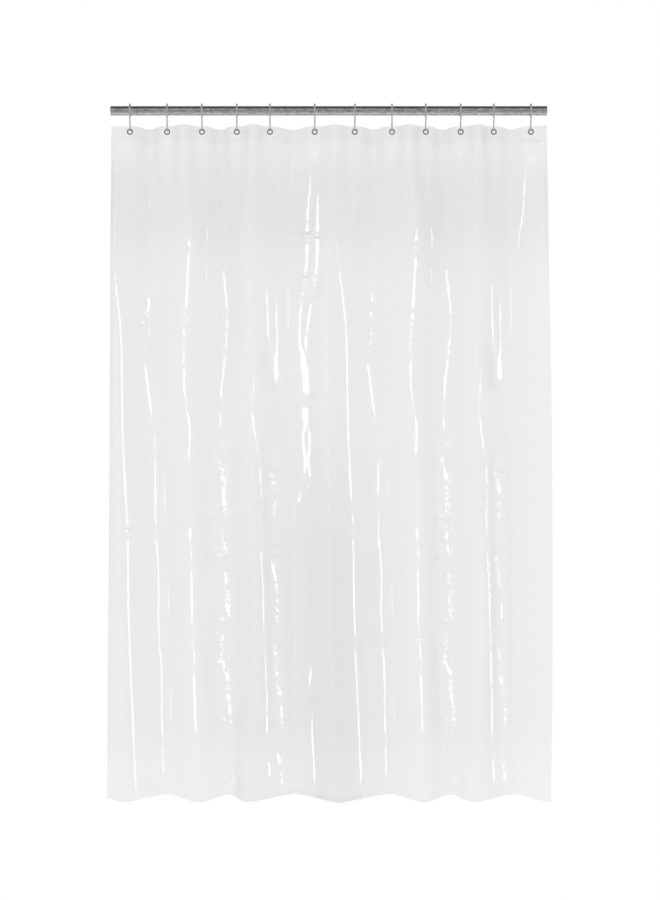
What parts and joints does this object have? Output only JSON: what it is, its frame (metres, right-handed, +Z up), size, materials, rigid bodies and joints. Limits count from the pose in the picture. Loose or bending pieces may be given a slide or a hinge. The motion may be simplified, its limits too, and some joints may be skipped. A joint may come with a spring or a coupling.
{
  "type": "shower curtain",
  "caption": "Clear film shower curtain liner with metal grommets, hung by wire hooks from a round metal tube.",
  "frame": {"origin": "middle of the tube, on its axis", "axes": "+X along the tube, +Z up, -Y towards the room, where the eyelets' flanges face"},
  "size_m": [1.187, 0.1062, 1.8912],
  "materials": {
    "rod": "polished, faint lengthwise grain",
    "hook_wire": "plated wire, satin",
    "grommet": "pressed steel, satin",
    "film": "clear, slightly frosted film with creases",
    "welded_film": "doubled film with a weld line"
  },
  "bodies": {
    "rod": {"rod_tube": "rod"},
    "hook_01": {"hook_01": "hook_wire"},
    "hook_02": {"hook_02": "hook_wire"},
    "hook_03": {"hook_03": "hook_wire"},
    "hook_04": {"hook_04": "hook_wire"},
    "hook_05": {"hook_05": "hook_wire"},
    "hook_06": {"hook_06": "hook_wire"},
    "hook_07": {"hook_07": "hook_wire"},
    "hook_08": {"hook_08": "hook_wire"},
    "hook_09": {"hook_09": "hook_wire"},
    "hook_10": {"hook_10": "hook_wire"},
    "hook_11": {"hook_11": "hook_wire"},
    "hook_12": {"hook_12": "hook_wire"},
    "curtain": {"film_panel": "film", "header_band": "welded_film", "hem_left": "welded_film", "hem_right": "welded_film", "hem_bottom": "welded_film", "eyelet_01": "grommet", "washer_01": "grommet"},
    "grommet_02": {"eyelet_02": "grommet", "washer_02": "grommet"},
    "grommet_03": {"eyelet_03": "grommet", "washer_03": "grommet"},
    "grommet_04": {"eyelet_04": "grommet", "washer_04": "grommet"},
    "grommet_05": {"eyelet_05": "grommet", "washer_05": "grommet"},
    "grommet_06": {"eyelet_06": "grommet", "washer_06": "grommet"},
    "grommet_07": {"eyelet_07": "grommet", "washer_07": "grommet"},
    "grommet_08": {"eyelet_08": "grommet", "washer_08": "grommet"},
    "grommet_09": {"eyelet_09": "grommet", "washer_09": "grommet"},
    "grommet_10": {"eyelet_10": "grommet", "washer_10": "grommet"},
    "grommet_11": {"eyelet_11": "grommet", "washer_11": "grommet"},
    "grommet_12": {"eyelet_12": "grommet", "washer_12": "grommet"}
  },
  "joints": [
    {"name": "curtain_swing", "type": "hinge", "parent": "rod", "child": "hook_01", "pos_m": [0, 0, 0], "axis": [1, 0, 0], "range_deg": [-30, 30]},
    {"name": "draw", "type": "slide", "parent": "hook_01", "child": "hook_12", "axis": [1, 0, 0], "range_m": [-0.7092, 0], "deforming": ["film_panel", "header_band", "hem_left", "hem_right", "hem_bottom"]},
    {"name": "draw_02", "type": "slide", "parent": "hook_01", "child": "hook_02", "axis": [1, 0, 0], "range_m": [-0.0659, 0]},
    {"name": "draw_03", "type": "slide", "parent": "hook_01", "child": "hook_03", "axis": [1, 0, 0], "range_m": [-0.1276, 0]},
    {"name": "draw_04", "type": "slide", "parent": "hook_01", "child": "hook_04", "axis": [1, 0, 0], "range_m": [-0.1894, 0]},
    {"name": "draw_05", "type": "slide", "parent": "hook_01", "child": "hook_05", "axis": [1, 0, 0], "range_m": [-0.2479, 0]},
    {"name": "draw_06", "type": "slide", "parent": "hook_01", "child": "hook_06", "axis": [1, 0, 0], "range_m": [-0.3272, 0]},
    {"name": "draw_07", "type": "slide", "parent": "hook_01", "child": "hook_07", "axis": [1, 0, 0], "range_m": [-0.398, 0]},
    {"name": "draw_08", "type": "slide", "parent": "hook_01", "child": "hook_08", "axis": [1, 0, 0], "range_m": [-0.4637, 0]},
    {"name": "draw_09", "type": "slide", "parent": "hook_01", "child": "hook_09", "axis": [1, 0, 0], "range_m": [-0.5235, 0]},
    {"name": "draw_10", "type": "slide", "parent": "hook_01", "child": "hook_10", "axis": [1, 0, 0], "range_m": [-0.5852, 0]},
    {"name": "draw_11", "type": "slide", "parent": "hook_01", "child": "hook_11", "axis": [1, 0, 0], "range_m": [-0.6437, 0]},
    {"name": "curtain_sway", "type": "hinge", "parent": "hook_01", "child": "curtain", "pos_m": [-0.541, 0.0003, -0.0554], "axis": [1, 0, 0], "range_deg": [-10, 10]},
    {"name": "tilt_02", "type": "hinge", "parent": "hook_02", "child": "grommet_02", "pos_m": [-0.44, 0.0003, -0.0554], "axis": [1, 0, 0], "range_deg": [-10.01, 10.01]},
    {"name": "tilt_03", "type": "hinge", "parent": "hook_03", "child": "grommet_03", "pos_m": [-0.345, 0.0003, -0.0554], "axis": [1, 0, 0], "range_deg": [-10.01, 10.01]},
    {"name": "tilt_04", "type": "hinge", "parent": "hook_04", "child": "grommet_04", "pos_m": [-0.25, 0.0003, -0.0554], "axis": [1, 0, 0], "range_deg": [-10.01, 10.01]},
    {"name": "tilt_05", "type": "hinge", "parent": "hook_05", "child": "grommet_05", "pos_m": [-0.16, 0.0003, -0.0554], "axis": [1, 0, 0], "range_deg": [-10.01, 10.01]},
    {"name": "tilt_06", "type": "hinge", "parent": "hook_06", "child": "grommet_06", "pos_m": [-0.038, 0.0003, -0.0554], "axis": [1, 0, 0], "range_deg": [-10.01, 10.01]},
    {"name": "tilt_07", "type": "hinge", "parent": "hook_07", "child": "grommet_07", "pos_m": [0.071, 0.0003, -0.0554], "axis": [1, 0, 0], "range_deg": [-10.01, 10.01]},
    {"name": "tilt_08", "type": "hinge", "parent": "hook_08", "child": "grommet_08", "pos_m": [0.172, 0.0003, -0.0554], "axis": [1, 0, 0], "range_deg": [-10.01, 10.01]},
    {"name": "tilt_09", "type": "hinge", "parent": "hook_09", "child": "grommet_09", "pos_m": [0.264, 0.0003, -0.0554], "axis": [1, 0, 0], "range_deg": [-10.01, 10.01]},
    {"name": "tilt_10", "type": "hinge", "parent": "hook_10", "child": "grommet_10", "pos_m": [0.359, 0.0003, -0.0554], "axis": [1, 0, 0], "range_deg": [-10.01, 10.01]},
    {"name": "tilt_11", "type": "hinge", "parent": "hook_11", "child": "grommet_11", "pos_m": [0.449, 0.0003, -0.0554], "axis": [1, 0, 0], "range_deg": [-10.01, 10.01]},
    {"name": "tilt_12", "type": "hinge", "parent": "hook_12", "child": "grommet_12", "pos_m": [0.55, 0.0003, -0.0554], "axis": [1, 0, 0], "range_deg": [-10.01, 10.01]}
  ],
  "couplings": [
    {"joint": "draw_02", "follows": "draw", "ratio": 0.092576},
    {"joint": "draw_03", "follows": "draw", "ratio": 0.17965},
    {"joint": "draw_04", "follows": "draw", "ratio": 0.26673},
    {"joint": "draw_05", "follows": "draw", "ratio": 0.34922},
    {"joint": "draw_06", "follows": "draw", "ratio": 0.46104},
    {"joint": "draw_07", "follows": "draw", "ratio": 0.56095},
    {"joint": "draw_08", "follows": "draw", "ratio": 0.65353},
    {"joint": "draw_09", "follows": "draw", "ratio": 0.73786},
    {"joint": "draw_10", "follows": "draw", "ratio": 0.82493},
    {"joint": "draw_11", "follows": "draw", "ratio": 0.90742},
    {"joint": "tilt_02", "follows": "curtain_sway", "ratio": 1},
    {"joint": "tilt_03", "follows": "curtain_sway", "ratio": 1},
    {"joint": "tilt_04", "follows": "curtain_sway", "ratio": 1},
    {"joint": "tilt_05", "follows": "curtain_sway", "ratio": 1},
    {"joint": "tilt_06", "follows": "curtain_sway", "ratio": 1},
    {"joint": "tilt_07", "follows": "curtain_sway", "ratio": 1},
    {"joint": "tilt_08", "follows": "curtain_sway", "ratio": 1},
    {"joint": "tilt_09", "follows": "curtain_sway", "ratio": 1},
    {"joint": "tilt_10", "follows": "curtain_sway", "ratio": 1},
    {"joint": "tilt_11", "follows": "curtain_sway", "ratio": 1},
    {"joint": "tilt_12", "follows": "curtain_sway", "ratio": 1}
  ]
}
